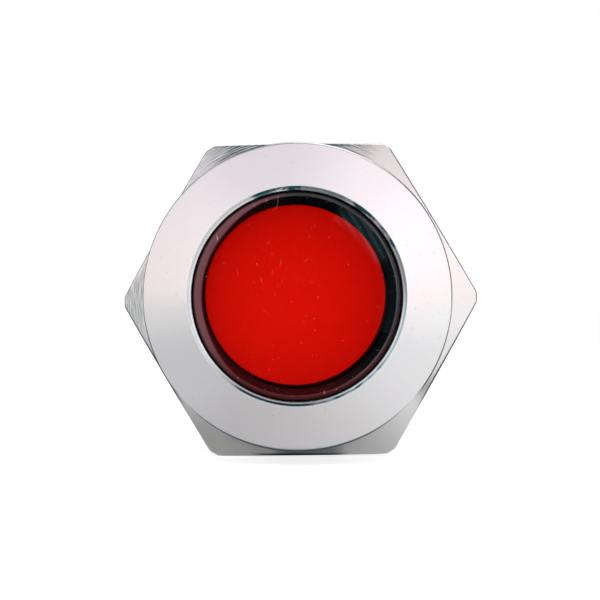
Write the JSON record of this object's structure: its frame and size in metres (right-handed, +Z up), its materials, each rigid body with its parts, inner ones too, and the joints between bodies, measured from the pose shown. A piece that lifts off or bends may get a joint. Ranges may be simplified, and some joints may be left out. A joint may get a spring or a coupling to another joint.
{
  "type": "panel pilot light",
  "caption": "Round panel pilot light: metal bezel with a flat red lens on a threaded shank, clamped by a gasket, toothed washer and hexagon nut, with blade terminals behind.",
  "frame": {"origin": "on the lamp's axis, in the plane of the panel's outer face, which the gasket seats on", "axes": "-Y out of the lens towards the viewer, +Y along the shank to the terminals, +Z up as mounted on an upright panel, +X to the viewer's right"},
  "size_m": [0.0306, 0.0356, 0.0272],
  "materials": {
    "nickel_bezel": "bright nickel plate over fine turning marks",
    "nickel_nut": "nickel plate over coarser turning marks on the chamfers",
    "spring_steel": "stamped spring steel, zinc plated",
    "red_lens": "clear red polycarbonate, polished, with fine scratches",
    "milky_disc": "milky diffusing plastic",
    "white_reflector": "white moulded plastic",
    "white_board": "white solder mask on glass epoxy",
    "led_package": "white package with a pale yellow window",
    "green_board": "green solder mask on glass epoxy",
    "black_epoxy_case": "moulded black epoxy",
    "resistor_coat": "lacquered body with plain bands",
    "capacitor_wrap": "shrink wrap over an aluminium can",
    "tinned_pins": "tinned brass",
    "sleeve_film": "thin cream insulating tube",
    "black_base": "black glass-filled polyester, fine moulded grain",
    "tinned_blade": "tin plate over stamped brass",
    "potting": "black casting resin with a smooth meniscus",
    "seal_rubber": "black silicone",
    "gasket_rubber": "black rubber, satin"
  },
  "bodies": {
    "lamp": {"housing": "nickel_bezel", "lens": "red_lens", "lens_seal": "seal_rubber", "diffuser": "milky_disc", "reflector": "white_reflector", "led_board": "white_board", "led_1": "led_package", "led_2": "led_package", "led_3": "led_package", "led_4": "led_package", "led_5": "led_package", "led_6": "led_package", "driver_board": "green_board", "bridge_rectifier": "black_epoxy_case", "resistor_1": "resistor_coat", "resistor_2": "resistor_coat", "capacitor": "capacitor_wrap", "link_pins": "tinned_pins", "insulating_sleeve": "sleeve_film", "terminal_base": "black_base", "terminal_1": "tinned_blade", "terminal_2": "tinned_blade", "epoxy_seal": "potting", "panel_gasket": "gasket_rubber"},
    "washer": {"lock_washer": "spring_steel"},
    "nut": {"mounting_nut": "nickel_nut"}
  },
  "joints": [
    {"name": "washer_slide", "type": "slide", "parent": "lamp", "child": "washer", "axis": [0, 1, 0], "range_m": [-0.00315, 0.0072]},
    {"name": "nut_turn", "type": "hinge", "parent": "washer", "child": "nut", "pos_m": [0, 0.0067, 0], "axis": [0, 1, 0], "range_deg": [-1134, 2592]}
  ],
  "couplings": [
    {"joint": "washer_slide", "follows": "nut_turn", "m_per_rad": 0.00015915}
  ]
}
